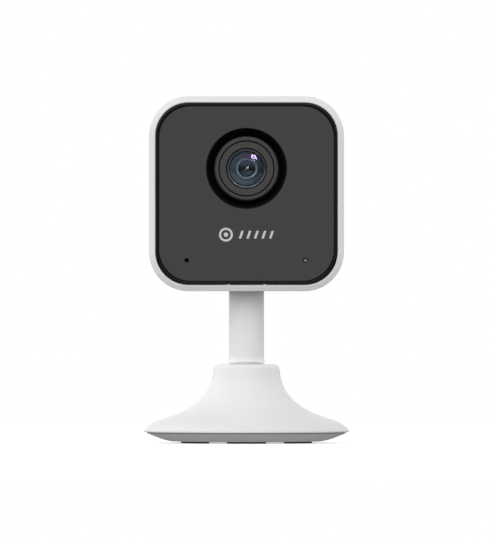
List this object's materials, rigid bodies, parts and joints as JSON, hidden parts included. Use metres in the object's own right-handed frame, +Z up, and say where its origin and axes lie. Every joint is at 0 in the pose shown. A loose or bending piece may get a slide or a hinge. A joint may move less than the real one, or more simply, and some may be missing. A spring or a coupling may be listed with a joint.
{
  "type": "security camera",
  "caption": "Small indoor security camera: a rounded square head with a dark face and one lens, on a swivelling stem and a flared round base.",
  "frame": {"origin": "on the ground under the middle of the round base, on the swivel's axis", "axes": "+Z up along the stem; the lens looks along -Y; +X is to the right of someone who faces the lens"},
  "size_m": [0.064, 0.064, 0.1081],
  "materials": {
    "white_plastic": "fine satin moulding",
    "grey_plastic": "fine satin moulding",
    "dark_rubber": "matte",
    "steel": "zinc plated",
    "natural_acetal": "smooth",
    "gloss_black": "high gloss",
    "panel_grey": "smooth, dark grey",
    "matte_black": "fine matte",
    "barrel_grey": "satin, warm dark grey",
    "coated_glass": "polished, coated",
    "clear_plastic": "clear, diffusing",
    "board_green": "solder mask",
    "chip_black": "moulded",
    "tinned_steel": "tinned",
    "copper_winding": "enamelled wire",
    "grey_foam": "closed-cell foam",
    "ribbon_white": "smooth"
  },
  "bodies": {
    "base": {"base_shell": "white_plastic", "base_cover": "grey_plastic", "base_weight": "steel", "foot_ring": "dark_rubber", "neck_bush": "natural_acetal", "wave_washer": "steel", "swivel_washer": "steel", "base_screw_1": "steel", "base_screw_2": "steel", "base_screw_3": "steel"},
    "stem": {"stem_tube": "white_plastic", "swivel_spindle": "steel", "swivel_screw": "steel", "hinge_knuckle": "grey_plastic"},
    "head": {"rear_shell": "white_plastic", "mic_seal": "dark_rubber", "friction_washer_left": "steel", "friction_washer_right": "steel", "hinge_screw": "steel", "hinge_nut": "steel", "case_screw_1": "steel", "case_screw_2": "steel", "case_screw_3": "steel", "case_screw_4": "steel", "board_screw_1": "steel", "board_screw_2": "steel", "front_bezel": "gloss_black", "front_panel": "panel_grey", "hinge_housing": "matte_black", "lens_shroud": "matte_black", "aperture_stop": "matte_black", "lens_holder": "matte_black", "lens_barrel": "barrel_grey", "lens_front_ring": "barrel_grey", "front_lens": "coated_glass", "middle_lens": "coated_glass", "rear_lens": "coated_glass", "light_pipe": "clear_plastic", "status_led": "clear_plastic", "ir_led_left": "clear_plastic", "ir_led_right": "clear_plastic", "main_board": "board_green", "led_board": "board_green", "io_board": "board_green", "wifi_antenna": "board_green", "processor_chip": "chip_black", "image_sensor": "chip_black", "speaker": "chip_black", "shield_can": "tinned_steel", "card_socket": "tinned_steel", "usb_port": "tinned_steel", "reset_switch": "tinned_steel", "microphone": "tinned_steel", "filter_coil": "copper_winding", "speaker_gasket": "grey_foam", "board_ribbon": "ribbon_white"},
    "reset_button": {"reset_button": "grey_plastic"},
    "ir_filter": {"ir_filter_carriage": "chip_black", "ir_filter_glass": "coated_glass"}
  },
  "joints": [
    {"name": "stem_swivel", "type": "hinge", "parent": "base", "child": "stem", "pos_m": [0, 0, 0.0254], "axis": [0, 0, 1], "continuous": true},
    {"name": "head_tilt", "type": "hinge", "parent": "stem", "child": "head", "pos_m": [0, 0, 0.0545], "axis": [-1, 0, 0], "range_deg": [-15, 90]},
    {"name": "reset_press", "type": "slide", "parent": "head", "child": "reset_button", "axis": [0, -1, 0], "range_m": [0, 0.0005], "stiffness_N_per_m": 2000, "springref_m": -0.0002},
    {"name": "filter_shift", "type": "slide", "parent": "head", "child": "ir_filter", "axis": [1, 0, 0], "range_m": [0, 0.0062]}
  ]
}
